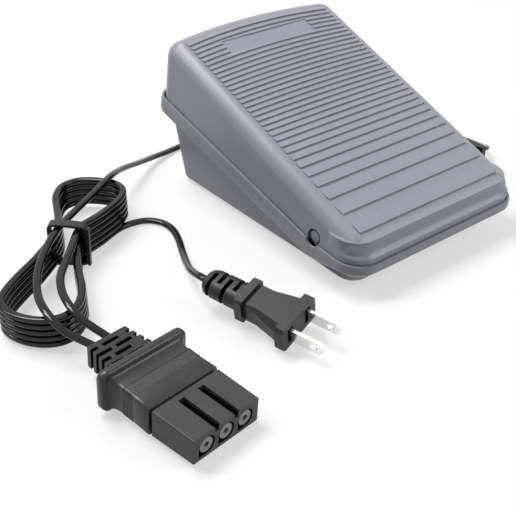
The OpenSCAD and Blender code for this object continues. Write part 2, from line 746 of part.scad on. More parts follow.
// The tie lifts the turns off the floor by this much at the waist
hank_lift = [1.2, 0.6, 0, 0, 0, 0, 0, 0, 0, 0, 0, 0, 0.6, 1.2, 0.6, 0, 0, 0, 0, 0, 0, 0, 0, 0.6];
hank_turns = 5;
hank_floor = 1.5;
hank_pitch = cord_t + 0.4;
hank_steps = len(hank_line);
hank_last = hank_turns * hank_steps;
hank_way = unit([-0.75, -0.66, 0]);
function hank_at(j) = let (i = j % hank_steps)
    [hank_line[i][0], hank_line[i][1], hank_floor + hank_pitch * j / hank_steps + hank_lift[i]];
hank_path = concat(
    [hank_at(0), hank_at(0) + straight * hank_way],
    [for (j = [1:hank_last - 1]) hank_at(j)],
    [hank_at(hank_last) - straight * hank_way, hank_at(hank_last)]
);
// Six sides with a flat top and bottom
function flat_ring(p, dir) =
    let (across = unit(cross(dir, [0, 0, 1])), up = cross(across, dir))
    [for (i = [0:5]) p + across * (cord_w / 2 * cos(60 * i)) + up * (cord_t / 2 * sin(60 * i))];
hank_rings = [for (i = [0:len(hank_path) - 1]) flat_ring(hank_path[i], ends_kept(hank_path, i))];
// Least gap of the hank to itself, over the points of rings at least half a turn apart
hank_gap = min([for (i = [0:len(hank_path) - 1], k = [i + hank_steps / 2:1:len(hank_path) - 1])
    if (norm(hank_path[i] - hank_path[k]) < 2 * cord_w)
        min([for (a = hank_rings[i], b = hank_rings[k]) norm(a - b)])]);
echo(str("least gap of the hank to itself, mm: ", hank_gap));

module lead_hank() {
    color(black) skin(hank_rings);
}

// ---- free stretches of the leads ---------------------------------------------------------
pedal_route = concat(
    [[outlet_end, outlet_y, outlet_z], [outlet_end + straight, outlet_y, outlet_z]],
    [[101, -22.5, 6.5], [107, -10, 2], [106, 8, 1.5], [101, 27, 1.5], [95, 46, 1.5], [88, 65, 1.5],
     [77, 82, 1.5], [60, 94, 1.5], [41, 99.5, 1.5], [21, 101, 1.5], [1, 100, 1.5], [-18, 97, 1.5],
     [-36, 94, 1.8], [-53, 88.5, 4.5], [-67, 80.5, 9], [-82.5, 70.5, 14.8], [-96, 59.5, 19.4],
     [-112, 48.5, 20], [-128, 39, 19.8], [-142, 30, 19.5], [-154, 18.5, 19.2], [-164.5, 5.5, 18.6],
     [-172, -8.5, 18], [-175, -22, 17.6], [-173.5, -33, 14.2]],
    [connector_entry(-1, straight), connector_entry(-1, 0)]
);
plug_route = concat(
    [plug_entry(0), plug_entry(straight)],
    [[-104.2, -24, 9], [-100, -14, 5.6], [-93.5, -0.5, 2.4], [-87.5, 12, 1.5], [-84.5, 22, 1.5],
     [-85, 30, 1.5], [-89.5, 36.5, 1.5], [-97, 39.2, 1.5], [-106, 38.5, 1.5], [-118, 33.5, 1.6]],
    [hank_at(0) - straight * hank_way, hank_at(0)]
);
connector_route = concat(
    [hank_at(hank_last), hank_at(hank_last) + straight * hank_way],
    [[-144, 13.5, 18.2], [-152, 4.5, 18.2], [-158.5, -3.5, 18.2], [-163, -13, 18], [-165.2, -23, 17.6],
     [-164.5, -31.5, 15]],
    [connector_entry(1, straight), connector_entry(1, 0)]
);
module lead(route, steps) {
    color(black) tube(curve(route, steps), cord_w, cord_t, 8);
}
module pedal_lead() { lead(pedal_route, 2); }
module lead_plug_run() { lead(plug_route, 1); }
module lead_connector_run() { lead(connector_route, 1); }

// ---- cable tie ----------------------------------------------------------------------------
// Outline with its corners rounded, each over a run of cut
function eased(pts, cut, n = 4) = [for (i = [0:len(pts) - 1])
    let (p = pts[i], a = p + cut * unit(pts[(i + len(pts) - 1) % len(pts)] - p),
         b = p + cut * unit(pts[(i + 1) % len(pts)] - p))
    for (k = [0:n]) let (t = k / n) (1 - t) * (1 - t) * a + 2 * t * (1 - t) * p + t * t * b];
tie_at = [-137.5, 28.7];
tie_turn = -39.7;
tie_half = 8;
tie_low = 1.3;
tie_high_left = 21.1;
tie_high_right = 19.8;
module tie_outline(g) {
    polygon(eased([[-tie_half - g, tie_low - g], [tie_half + g, tie_low - g],
                   [tie_half + g, tie_high_right + g], [-0.2 * tie_half, tie_high_left + g], [-tie_half - g, tie_high_left + g]],
                  2 + g));
}
module cable_tie() {
    color(black) translate([tie_at[0], tie_at[1], 0]) rotate([0, 0, tie_turn]) rotate([90, 0, 0]) {
        translate([0, 0, -tie_w / 2]) linear_extrude(tie_w) difference() {
            tie_outline(tie_t);
            tie_outline(0);
        }
        // free end, hanging down the right side
        translate([tie_half + tie_t - 0.2, tie_high_right - 1, 0]) rotate([-13, 0, 0])
            translate([0, -17.5, -tie_w / 2 + 1]) cube([tie_t, 18, tie_w - 1.5]);
    }
}

// ---- mains plug ---------------------------------------------------------------------------
relief_l = 20.4;
collar = [16.8, 12.9, 3.9];
body_thick = 10.6;
flange = [24.4, 12.6, 4.4];
plug_face = 48.4;
module chamfered(size, cut) {
    x = size[0] / 2;
    y = size[1] / 2;
    linear_extrude(size[2]) polygon([[cut - x, -y], [x - cut, -y], [x, cut - y], [x, y - cut],
                                     [x - cut, y], [cut - x, y], [-x, y - cut], [-x, cut - y]]);
}
// Sections of the relief: place along the axis, width, height, corner
relief = [[0, 9, 6.6, 3], [1.4, 11.8, 8.4, 3.8], [4, 13.6, 9.6, 4.5], [relief_l - eps, 14, 9.8, 4.6]];
module plug_relief() {
    // place along the axis and the side that each slot opens to
    slots = [[3.2, -1], [7.2, 1], [11.2, -1], [15.6, 1]];
    color(black) laid(plug_at, plug_turn, plug_dip, plug_roll) difference() {
        hull() for (b = relief) translate([0, 0, b[0]]) rounded_block([b[1], b[2], eps], b[3]);
        for (s = slots) translate([0, 0, s[0]]) difference() {
            translate([s[1] > 0 ? -2.5 : -10, -8, 0]) cube([12.5, 16, 2.1]);
            translate([0, 0, -over]) cylinder(r = 2.6, h = 3 + over);
        }
    }
}
module blade_form(g) {
    for (k = [-1, 1]) translate([k * blade_pitch / 2 - blade_t / 2 - g, -blade_h / 2 - g, plug_face - 8 - g])
        cube([blade_t + 2 * g, blade_h + 2 * g, 8 + over + g]);
}
module plug_body() {
    neck = relief_l + collar[2];
    waist = 31;
    flange_at = plug_face - flange[2];
    color(black) laid(plug_at, plug_turn, plug_dip, plug_roll) difference() {
        union() {
            translate([0, 0, relief_l]) chamfered(collar, 1.2);
            translate([0, 0, neck - eps]) chamfered([13.4, 9.6, 2], 1);
            hull() {
                translate([0, 0, neck + 1.5]) chamfered([14, body_thick, eps], 0.8);
                translate([0, 0, waist]) chamfered([15, body_thick, eps], 1.6);
            }
            hull() {
                translate([0, 0, waist]) chamfered([15, body_thick, eps], 1.6);
                translate([0, 0, flange_at]) chamfered([22.2, body_thick + 0.8, eps], 3);
            }
            translate([0, 0, flange_at - eps]) chamfered(flange, 1.4);
        }
        // shallow pocket round each blade, and the blade's own slot
        for (k = [-1, 1]) translate([k * blade_pitch / 2 - 2, -blade_h / 2 - 0.8, plug_face - 1.2])
            cube([4, blade_h + 1.6, 3]);
        blade_form(0);
    }
}
module plug_blades() {
    hole_d = 3.1;
    hole_from_tip = 4.2;
    tip = 1.3;
    y = blade_h / 2;
    color(steel) laid(plug_at, plug_turn, plug_dip, plug_roll)
        for (k = [-1, 1]) translate([k * blade_pitch / 2 - blade_t / 2, 0, plug_face]) rotate([0, 90, 0])
            linear_extrude(blade_t) difference() {
                polygon([[8, -y], [8, y], [tip - blade_l, y], [-blade_l, y - tip], [-blade_l, tip - y], [tip - blade_l, -y]]);
                translate([hole_from_tip - blade_l, 0]) circle(d = hole_d, $fn = 32);
            }
}

// ---- machine connector --------------------------------------------------------------------
comb_l = 20;
comb_w = [19.6, 24];
comb_t = 10;
comb_pitch = 4;
flange_from = comb_l;
bell = [[20, 41, 16.6, 2.5], [21.6, 43.2, 18.6, 3], [24, 43.2, 18.6, 3], [25, 38.6, 16, 2.6], [26.6, 36.2, 14.2, 2], [29.5, 35, 13.2, 1.2]];
bell_up = 1.6;
groove_at = 45;
groove_l = 1.4;
block = [33.8, 11.4];
block_end = 67.5;
pocket_l = 14;
module connector_relief() {
    color(black) laid(connector_at, connector_turn, connector_dip, connector_roll) difference() {
        rotate([90, 0, 0]) translate([0, 0, -comb_t / 2]) linear_extrude(comb_t)
            polygon([[-comb_w[0] / 2, 0], [comb_w[0] / 2, 0], [comb_w[1] / 2, comb_l], [-comb_w[1] / 2, comb_l]]);
        for (i = [0:3], s = [-1, 1]) translate([0, s * comb_t / 2, 2.6 + comb_pitch * i]) {
            bridge = i % 2 == 0 ? -4.6 : -1;
            translate([bridge - 8.4, -2.4, 0]) cube([6.2, 4.8, 1.7]);
            translate([bridge, -2.4, 0]) cube([8, 4.8, 1.7]);
        }
        for (i = [0:3], s = [-1, 1]) translate([s * (comb_w[0] / 2 + i), 0, 2.6 + comb_pitch * i])
            translate([-2.2, -10, 0]) cube([4.4, 20, 1.7]);
    }
}
module bell_slab(b) {
    translate([0, bell_up * (b[2] - block[1]) / 7, b[0]]) rounded_block([b[1], b[2], eps], b[3]);
}
module connector_body() {
    color(black) laid(connector_at, connector_turn, connector_dip, connector_roll) difference() {
        union() {
            for (i = [0:len(bell) - 2]) hull() {
                bell_slab(bell[i]);
                bell_slab(bell[i + 1]);
            }
            hull() {
                bell_slab(bell[len(bell) - 1]);
                translate([0, 0, groove_at - eps]) rounded_block([35.6, 13, eps], 1.2);
            }
            translate([0, 0, groove_at - over]) rounded_block([32, 10.6, groove_l + 2 * over], 1);
            hull() {
                translate([0, 0, groove_at + groove_l]) rounded_block([34.6, 12.4, eps], 0.8);
                translate([0, 0, block_end - eps]) rounded_block([block[0], block[1], eps], 0.8);
            }
        }
        // stepped channels along the top, between the sockets
        for (k = [-1, 1]) translate([k * socket_pitch / 2, block[1] / 2, 0]) {
            translate([-1.6, -0.3, groove_at + 3.6]) cube([3.2, 5, 30]);
            translate([-1, -2.6, groove_at + 4.4]) cube([2, 5, 30]);
        }
        for (k = [-1:1]) translate([k * socket_pitch, -0.3, block_end - pocket_l]) {
            cylinder(d = socket_d + 1.6, h = pocket_l + over);
            translate([-socket_d / 2 - 0.8, -socket_d / 2 - 0.8, 0]) cube([socket_d / 2 + 0.8, socket_d / 2 + 0.8, pocket_l + over]);
        }
    }
}
module connector_sleeves() {
    color([0.16, 0.16, 0.17]) laid(connector_at, connector_turn, connector_dip, connector_roll)
        for (k = [-1:1]) translate([k * socket_pitch, -0.3, block_end - pocket_l]) difference() {
            cylinder(d = socket_d, h = pocket_l - 0.3);
            translate([0, 0, -over]) cylinder(d = socket_bore + 1, h = pocket_l - 1.5 + over);
            cylinder(d = socket_bore, h = pocket_l + over);
        }
}
module connector_contacts() {
    color(brass) laid(connector_at, connector_turn, connector_dip, connector_roll)
        for (k = [-1:1]) translate([k * socket_pitch, -0.3, block_end - pocket_l]) difference() {
            cylinder(d = socket_bore + 1, h = pocket_l - 1.5);
            translate([0, 0, 1]) cylinder(d = socket_bore - 0.2, h = pocket_l);
        }
}

base_shell();
rubber_feet();
treadle();
pivot_pin_left();
pivot_pin_right();
return_spring_left();
return_spring_right();
circuit_board();
board_screws();
control_housing();
control_plunger();
control_spring();
wiper_contact();
triac();
heat_sink();
capacitor();
choke_core();
choke_winding();
resistors();
terminal_block();
terminal_screws();
cord_clamp();
clamp_screws();
inner_leads();
cord_outlet();
pedal_lead();
lead_plug_run();
lead_hank();
lead_connector_run();
cable_tie();
plug_relief();
plug_body();
plug_blades();
connector_relief();
connector_body();
connector_sleeves();
connector_contacts();
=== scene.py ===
"""Sewing machine foot control.

Materials, cords, small moulded detail, floor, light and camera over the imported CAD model.
"""
import math

import bmesh
import bpy
from mathutils import Matrix, Vector


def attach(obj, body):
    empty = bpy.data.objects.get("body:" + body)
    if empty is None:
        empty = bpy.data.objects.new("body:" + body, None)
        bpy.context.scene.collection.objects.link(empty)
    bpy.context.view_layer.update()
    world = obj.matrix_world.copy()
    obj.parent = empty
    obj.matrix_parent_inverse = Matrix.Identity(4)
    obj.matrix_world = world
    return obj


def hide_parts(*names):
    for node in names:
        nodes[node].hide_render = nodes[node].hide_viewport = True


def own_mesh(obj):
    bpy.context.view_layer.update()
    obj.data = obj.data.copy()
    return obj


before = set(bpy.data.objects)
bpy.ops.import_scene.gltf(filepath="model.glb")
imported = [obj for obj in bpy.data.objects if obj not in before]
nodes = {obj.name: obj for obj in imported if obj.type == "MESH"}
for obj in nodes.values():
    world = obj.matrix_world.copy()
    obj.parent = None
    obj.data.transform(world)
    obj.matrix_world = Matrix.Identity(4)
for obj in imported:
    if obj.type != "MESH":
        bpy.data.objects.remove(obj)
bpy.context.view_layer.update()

MM = 0.001
WHITE = "ffffff"


# ---------------------------------------------------------------- camera
# Where the view is taken from, and the way it looks; the lens is given for a
# 36 mm wide film.
aim = Vector((0.518099, 0.653790, -0.551482))
bpy.ops.object.camera_add(location=(-0.2948, -0.3125, 0.2450))
camera = bpy.context.object
camera.name = "view_camera"
camera.rotation_mode = "QUATERNION"
camera.rotation_quaternion = aim.to_track_quat("-Z", "Y")
camera.data.lens = 64.4
camera.data.sensor_width = 36.0
camera.data.clip_start = 0.01
camera.data.clip_end = 50.0
bpy.context.scene.camera = camera


# ---------------------------------------------------------------- materials
def linear(hexa):
    """An sRGB hex colour as the linear colour that a shader socket takes."""
    out = []
    for i in (0, 2, 4):
        c = int(hexa[i:i + 2], 16) / 255.0
        out.append(c / 12.92 if c <= 0.04045 else ((c + 0.055) / 1.055) ** 2.4)
    return (*out, 1.0)


def add(tree, kind, settings=None, **inputs):
    """Adds a node. settings are its own values; inputs are its sockets, each a
    value or another node's output, and i0, i1 and so on go by their order."""
    n = tree.nodes.new(kind)
    for key, value in (settings or {}).items():
        setattr(n, key, value)
    for key, value in inputs.items():
        name = key.replace("_", " ")
        by_order = name[0] == "i" and name[1:].isdigit()
        socket = n.inputs[int(name[1:]) if by_order else name]
        if isinstance(value, bpy.types.NodeSocket):
            tree.links.new(value, socket)
        else:
            socket.default_value = value
    return n


def started(name):
    """A new material, its tree with nothing but a Principled shader, and that shader."""
    m = bpy.data.materials.new(name)
    m.use_nodes = True
    m.node_tree.nodes.clear()
    shader = add(m.node_tree, "ShaderNodeBsdfPrincipled")
    add(m.node_tree, "ShaderNodeOutputMaterial", None, Surface=shader.outputs["BSDF"])
    return m, m.node_tree, shader


def across(size_mm):
    """The scale of a pattern whose features are size_mm apart."""
    return 1000.0 / size_mm


# Nearly all of a noise texture's values lie between these two.
NOISE_LOW, NOISE_HIGH = 0.3, 0.7


def dressed(tree, shader, tone, grain, colours, rough, relief_mm, strength):
    """tone runs between two sRGB hex colours; grain sets roughness and relief."""
    ramp = add(tree, "ShaderNodeValToRGB", None, Fac=tone)
    for element, at, colour in zip(ramp.color_ramp.elements, (NOISE_LOW, NOISE_HIGH), colours):
        element.position, element.color = at, linear(colour)
    matt = add(
        tree, "ShaderNodeMapRange", None, Value=grain,
        From_Min=NOISE_LOW, From_Max=NOISE_HIGH, To_Min=rough[0], To_Max=rough[1],
    )
    bump = add(
        tree, "ShaderNodeBump", None, Strength=strength, Distance=relief_mm * MM, Height=grain,
    )
    tree.links.new(ramp.outputs["Color"], shader.inputs["Base Color"])
    tree.links.new(matt.outputs["Result"], shader.inputs["Roughness"])
    tree.links.new(bump.outputs["Normal"], shader.inputs["Normal"])


def moulded(name, low, high, rough, grain_mm, relief_mm,
            cloud_mm=40.0, ior=1.53, spread=0.06, sheen=0.5):
    """Injection-moulded plastic: a faint cloudiness of its colour, and the fine
    grain of the mould's spark-eroded wall."""
    m, t, shader = started(name)
    place = add(t, "ShaderNodeTexCoord").outputs["Object"]
    cloud = add(
        t, "ShaderNodeTexNoise", None, Vector=place, Scale=across(cloud_mm),
        Detail=4.0, Roughness=0.55,
    )
    grain = add(
        t, "ShaderNodeTexNoise", None, Vector=place, Scale=across(grain_mm),
        Detail=2.0, Roughness=0.6,
    )
    dressed(
        t, shader, cloud.outputs["Fac"], grain.outputs["Fac"], (low, high),
        (rough - spread, rough + spread), relief_mm, 1.0,
    )
    shader.inputs["IOR"].default_value = ior
    shader.inputs["Specular IOR Level"].default_value = sheen
    return m


def metal(name, low, high, rough, brush_mm, relief_mm, stretch=(1.0, 1.0, 1.0)):
    """Metal: fine scratches drawn out along one way, which carry its roughness
    and a little of its tone."""
    m, t, shader = started(name)
    place = add(t, "ShaderNodeTexCoord").outputs["Object"]
    turned = add(t, "ShaderNodeMapping", None, Vector=place, Scale=stretch)
    lines = add(
        t, "ShaderNodeTexNoise", None, Vector=turned.outputs["Vector"], Scale=across(brush_mm),
        Detail=3.0, Roughness=0.6,
    )
    dressed(
        t, shader, lines.outputs["Fac"], lines.outputs["Fac"], (low, high),
        (rough - 0.06, rough + 0.08), relief_mm, 0.6,
    )
    shader.inputs["Metallic"].default_value = 1.0
    return m


# ABS, injection moulded in a finely eroded mould, blue-grey: a dull satin that
# holds a broad soft highlight. The real grain is about 0.1 mm and wouldn't show,
# so it is drawn at 0.7 mm.
abs_tread = moulded("abs_moulded_grey_tread", "8b8d98", "90929d", 0.35, 0.7, 0.012, sheen=0.4)
# The same ABS on the base, a touch darker as painted shade.
abs_base_painted_shade = moulded("abs_moulded_grey_base_painted_shade", "868891", "8b8d96", 0.38, 0.7, 0.012, sheen=0.4)
# Soft PVC, extruded over the two cores: near black, smooth, with a glossy skin.
pvc_lead = moulded(
    "pvc_extruded_lead", "09090a", "0f0f10", 0.13, 1.6, 0.006,
    cloud_mm=12.0, ior=1.54, spread=0.03, sheen=0.34,
)
# PVC, moulded over the plug in an eroded mould: charcoal, duller than the lead.
pvc_plug = moulded(
    "pvc_moulded_plug", "262627", "2c2c2d", 0.4, 0.6, 0.012, cloud_mm=9.0, ior=1.54, sheen=0.25,
)
# ABS block of the connector, injection moulded: charcoal, fine matt grain.
abs_connector = moulded(
    "abs_moulded_connector", "3c3c3e", "424244", 0.42, 0.6, 0.012, cloud_mm=9.0, sheen=0.25,
)
# The plug's PVC again, at the connector's collar, from a polished part of the mould:
# glossier.
pvc_collar = moulded(
    "pvc_moulded_collar", "323234", "38383a", 0.3, 0.6, 0.006,
    cloud_mm=9.0, ior=1.54, spread=0.04, sheen=0.3,
)
# Painted shade at the bottom of slots and pockets and in the block's channels: black and matt.
painted_recess_shade = moulded(
    "abs_recess_painted_shade", "060607", "0a0a0b", 0.65, 0.6, 0.01, cloud_mm=9.0, sheen=0.1,
)
# Hard nylon sleeves round the contacts, mid grey and matt.
nylon_sleeve = moulded("nylon_moulded_sleeve", "8a8a8c", "929294", 0.5, 0.6, 0.01)
# Nylon 6, natural white, injection moulded: a soft satin.
nylon_white = moulded("nylon_moulded_white", "dcdad2", "e6e4dc", 0.4, 0.8, 0.008, cloud_mm=8.0)
# Vulcanised rubber of the feet: black and matt.
rubber_foot = moulded(
    "rubber_vulcanised_foot", "222224", "2b2b2d", 0.8, 0.9, 0.03, cloud_mm=6.0, ior=1.52,
)
# Glass-filled thermoplastic of the control's housing: cream, dry surface.
pbt_housing = moulded("pbt_moulded_housing", "c9c4b4", "d3cebf", 0.55, 0.7, 0.015, cloud_mm=10.0)
# Polyamide of the terminal block: blue, satin.
pa_terminal = moulded(
    "polyamide_moulded_terminal", "2b5f97", "3268a2", 0.42, 0.6, 0.01, cloud_mm=6.0,
)
# Epoxy case of the triac: black, moulded matt.
epoxy_case = moulded("epoxy_moulded_case", "1f1f21", "28282a", 0.6, 0.5, 0.02, cloud_mm=4.0)
# Epoxy dip of the film capacitor: amber, glossy, slightly uneven.
epoxy_dip = moulded(
    "epoxy_dipped_capacitor", "b07a22", "c08a2c", 0.22, 3.0, 0.06, cloud_mm=5.0, spread=0.03,
)
# Coating of the resistors: tan, smooth.
resistor_coat = moulded("resistor_coating", "a8946f", "b5a27c", 0.4, 1.2, 0.02, cloud_mm=3.0)
# Sintered ferrite of the choke's core: dark grey, stony.
ferrite = moulded("ferrite_sintered_core", "4a4b4e", "5a5b5f", 0.6, 0.5, 0.03, cloud_mm=3.0)
# Solder mask over glass-epoxy board: green, glossy, slightly uneven over the weave.
solder_mask = moulded(
    "solder_mask_board", "1c5c38", "22663f", 0.3, 0.8, 0.02, cloud_mm=14.0, spread=0.04,
)
# PVC skin of the inner cores: brick red, satin.
pvc_core = moulded("pvc_extruded_core", "8d4a38", "98533f", 0.4, 1.2, 0.01, cloud_mm=6.0)
# Nickel plate on the brass blades: bright, drawn lengthwise in the press.
nickel_blade = metal("nickel_plated_blade", "e6e4e0", "f1f0ec", 0.17, 0.5, 0.004, (1.0, 0.15, 1.0))
# Zinc-plated steel of screws and springs.
zinc_steel = metal("steel_zinc_plated", "b4b5b8", "c6c7ca", 0.3, 0.6, 0.006)
# Brass of the contacts, pressed and tarnished a little.
brass_contact = metal("brass_pressed_contact", "b8974e", "c9a85c", 0.32, 0.6, 0.006)
# The same brass deep in the sockets, turned near black as painted shade.
brass_painted_socket_shade = metal("brass_socket_painted_shade", "2a2620", "363028", 0.5, 0.6, 0.006)
# Extruded aluminium of the heat sink, with its die lines.
aluminium_sink = metal(
    "aluminium_extruded_sink", "b6b8bb", "c4c6c9", 0.36, 0.5, 0.01, (1.0, 1.0, 0.12),
)
# Enamelled copper wire of the choke.
copper_wire = metal("copper_enamelled_wire", "a85c2e", "bb6b38", 0.25, 0.8, 0.004)

FINISH = {
    "treadle": abs_tread, "base_shell": abs_base_painted_shade,
    "pivot_pin_left": abs_base_painted_shade, "pivot_pin_right": abs_base_painted_shade, "rubber_feet": rubber_foot,
    "return_spring_left": zinc_steel, "return_spring_right": zinc_steel,
    "circuit_board": solder_mask, "board_screws": zinc_steel, "control_housing": pbt_housing,
    "control_plunger": nylon_white, "control_spring": zinc_steel, "wiper_contact": brass_contact,
    "triac": epoxy_case, "heat_sink": aluminium_sink, "capacitor": epoxy_dip, "choke_core": ferrite,
    "choke_winding": copper_wire, "resistors": resistor_coat, "terminal_block": pa_terminal,
    "terminal_screws": zinc_steel, "cord_clamp": nylon_white, "clamp_screws": zinc_steel,
    "inner_leads": pvc_core, "cord_outlet": pvc_plug, "pedal_lead": pvc_lead,
    "lead_plug_run": pvc_lead, "lead_hank": pvc_lead, "lead_connector_run": pvc_lead,
    "cable_tie": pvc_plug, "plug_relief": pvc_plug,
    "plug_body": pvc_plug, "plug_blades": nickel_blade, "connector_relief": pvc_plug,
    "connector_body": abs_connector, "connector_sleeves": nylon_sleeve,
    "connector_contacts": brass_painted_socket_shade,
}
for name, material in FINISH.items():
    nodes[name].data.materials.clear()
    nodes[name].data.materials.append(material)


# ---------------------------------------------------------------- moulded pieces with rounded edges
# Where the plug and the connector lie, in mm and degrees; the same values place
# the CAD nodes.
plug_at, plug_turn, plug_dip, plug_roll = Vector((-105, -37.5, 11.8)), 16, 3.3, 12
connector_at = Vector((-162.2, -46.8, 9.6))
connector_turn, connector_dip, connector_roll = 9, 2.2, -2.5


def laid(at, turn, dip, roll):
    """From a piece's own frame, across, up and along its axis in mm, to where it lies."""
    steps = ((turn, "Z"), (dip, "X"), (-roll, "Y"), (90, "X"))
    out = Matrix.Translation(at * MM)
    for angle, axis in steps:
        out = out @ Matrix.Rotation(math.radians(angle), 4, axis)
    return out @ Matrix.Scale(MM, 4)


plug_place = laid(plug_at, plug_turn, plug_dip, plug_roll)
connector_place = laid(connector_at, connector_turn, connector_dip, connector_roll)


def placed(name, mesh):
    """A new object in the scene, at the origin."""
    piece = bpy.data.objects.new(name, mesh)
    bpy.context.scene.collection.objects.link(piece)
    return piece


def picked(piece):
    """Leaves a piece as the one that is selected, and the active one."""
    bpy.ops.object.select_all(action="DESELECT")
    piece.select_set(True)
    bpy.context.view_layer.objects.active = piece


def cut_off(piece, place, along):
    """In edit mode: keeps the faces that lie past a point along the axis of place,
    and closes the cut."""
    bpy.ops.mesh.select_all(action="DESELECT")
    shape = bmesh.from_edit_mesh(piece.data)
    to_piece = place.inverted()
    for f in shape.faces:
        f.select_set((to_piece @ f.calc_center_median()).z < along + 0.01)
    bmesh.update_edit_mesh(piece.data)
    bpy.ops.mesh.delete(type="FACE")
    bpy.ops.mesh.select_all(action="SELECT")
    bpy.ops.mesh.delete_loose()
    bpy.ops.mesh.select_all(action="DESELECT")
    bpy.ops.mesh.select_mode(type="EDGE")
    bpy.ops.mesh.select_non_manifold()
    bpy.ops.mesh.edge_face_add()
    bpy.ops.mesh.select_mode(type="FACE")
    bpy.ops.mesh.select_all(action="SELECT")


def softened(node, width_mm, body="base", dissolve=1.0, turn=28.0, smooth=38.0, keep_past=None):
    """Stands for a moulded node: the same form, its sharp edges rounded over as
    a worn mould leaves them. Angles are in degrees. keep_past, a place and how
    far along its axis, keeps only what lies past it."""
    piece = placed(node + "_moulded", nodes[node].data.copy())
    picked(piece)
    bpy.ops.mesh.customdata_custom_splitnormals_clear()
    bpy.ops.object.mode_set(mode="EDIT")
    bpy.ops.mesh.select_all(action="SELECT")
    bpy.ops.mesh.remove_doubles(threshold=0.002 * MM)
    if keep_past:
        cut_off(piece, *keep_past)
    bpy.ops.mesh.dissolve_limited(angle_limit=math.radians(dissolve))
    bpy.ops.object.mode_set(mode="OBJECT")
    bevel = piece.modifiers.new("edges", "BEVEL")
    bevel.width = width_mm * MM
    bevel.segments = 2
    bevel.limit_method = "ANGLE"
    bevel.angle_limit = math.radians(turn)
    bpy.ops.object.modifier_apply(modifier="edges")
    bpy.ops.object.shade_smooth_by_angle(angle=math.radians(smooth))
    flat = piece.modifiers.new("faces", "WEIGHTED_NORMAL")
    flat.keep_sharp = True
    bpy.ops.object.modifier_apply(modifier="faces")
    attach(piece, body)
    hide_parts(node)
    return piece


# Along the connector's axis, in mm: the groove behind its block, the block's front,
# and how deep the pockets of the three sleeves go; then the block's height, and
# the pitch and half width of the pockets.
groove_at, block_end, pocket_deep = 45.0, 67.5, 14.0
block_high, socket_pitch, pocket_half = 11.4, 10.0, 4.0

SOFT_EDGES = {
    "plug_body": 0.35, "plug_relief": 0.3, "connector_relief": 0.3, "cable_tie": 0.35,
    "cord_outlet": 0.35,
}
rounded = {node: softened(node, width) for node, width in SOFT_EDGES.items()}
rounded["treadle"] = softened("treadle", 0.22, body="treadle", dissolve=0.6, turn=32.0, smooth=42.0)
rounded["base_shell"] = softened("base_shell", 0.3, dissolve=0.6, turn=32.0, smooth=42.0)
rounded["connector_body"] = softened("connector_body", 0.3, keep_past=(connector_place, groove_at))


def darkened(piece, place, inside):
    """Paints shade into a recess: the faces that lie in it get a near-black, duller finish;
    inside reads their middle and normal in the piece's own frame, in mm."""
    to_piece = place.inverted()
    turn_back = to_piece.to_3x3().normalized()
    piece.data.materials.append(painted_recess_shade)
    for f in piece.data.polygons:
        if inside(to_piece @ f.center, turn_back @ f.normal):
            f.material_index = len(piece.data.materials) - 1


# A face whose normal runs at least this far along the axis is the side of a slot.
SIDEWALL = 0.8
# In mm: the floor and half width of the channels in the block's top; where the slots
# of the plug's relief start, their width and its core's radius; and the first slot of
# the connector's relief, their width, pitch and number, and half its core's height.
channel_floor, channel_half = 2.9, 1.7
plug_slots, plug_slot_w, plug_core = (3.2, 7.2, 11.2, 15.6), 2.2, 3.2
comb_from, comb_slot_w, comb_pitch, comb_slots, comb_core = 2.5, 1.9, 4, 4, 2.8


def in_connector(middle, _normal):
    """The pockets of the sleeves, and the two channels along the block's top."""
    if middle.z > block_end - 0.3:
        return False
    near = pocket_half + 0.1
    pocket = (
        middle.z > block_end - pocket_deep - 0.5
        and abs(middle.y + 0.3) < near
        and any(abs(middle.x - k * socket_pitch) < near for k in (-1, 0, 1))
    )
    channel = channel_floor < middle.y < block_high / 2 - 0.15 and any(
        abs(middle.x - k * socket_pitch / 2) < channel_half for k in (-1, 1))
    return pocket or channel


def in_plug_slots(middle, normal):
    """The cross slots of the plug's strain relief, down to its core."""
    slot = any(z - 0.1 < middle.z < z + plug_slot_w for z in plug_slots)
    core = Vector((middle.x, middle.y)).length < plug_core
    return slot and (abs(normal.z) > SIDEWALL or core)


def in_comb_slots(middle, normal):
    """The slots between the ribs of the connector's strain relief."""
    starts = [comb_from + comb_pitch * i for i in range(comb_slots)]
    slot = any(z < middle.z < z + comb_slot_w for z in starts)
    core = abs(middle.y) < comb_core
    return slot and (abs(normal.z) > SIDEWALL or core)


# Painted shade: the connector's pockets and channels and the slots of both reliefs turn near black.
darkened(rounded["connector_body"], connector_place, in_connector)
darkened(rounded["plug_relief"], plug_place, in_plug_slots)
darkened(rounded["connector_relief"], connector_place, in_comb_slots)


# ---------------------------------------------------------------- springs
# Each coil is a copy of its node, fixed to the base. The table gives its joint, the height of
# its seat in metres, and the share of its length that is left at full travel; these are not used.
SPRINGS = {
    "return_spring_left": ("treadle_press", 0.012, 0.80),
    "return_spring_right": ("treadle_press", 0.012, 0.80),
    "control_spring": ("plunger_travel", 0.0132, 0.6),
}
for node, (joint, seat, left) in SPRINGS.items():
    coil = placed(node + "_coil", nodes[node].data.copy())
    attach(coil, "base")
    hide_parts(node)
    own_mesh(coil)


# ---------------------------------------------------------------- connector's collar
# The flange, the neck and the flare and flutes between them, in mm.
flange_w, flange_h, flange_r = 43.2, 18.6, 3.4
neck_w, neck_h, neck_r = 35.0, 13.2, 1.5
flare_from, flare_to, flare_out, flare_steps = 24.2, 29.5, 2.5, 8
flute_from, flute_pitch, flute_up, flutes = 30.2, 0.85, 0.16, 7
# The collar stands higher above the block than below it: by this much at the
# flange, less past the flare, and by nothing at the groove.
collar_rise, rise_over, rise_falls = 1.6, 7.0, 31.0


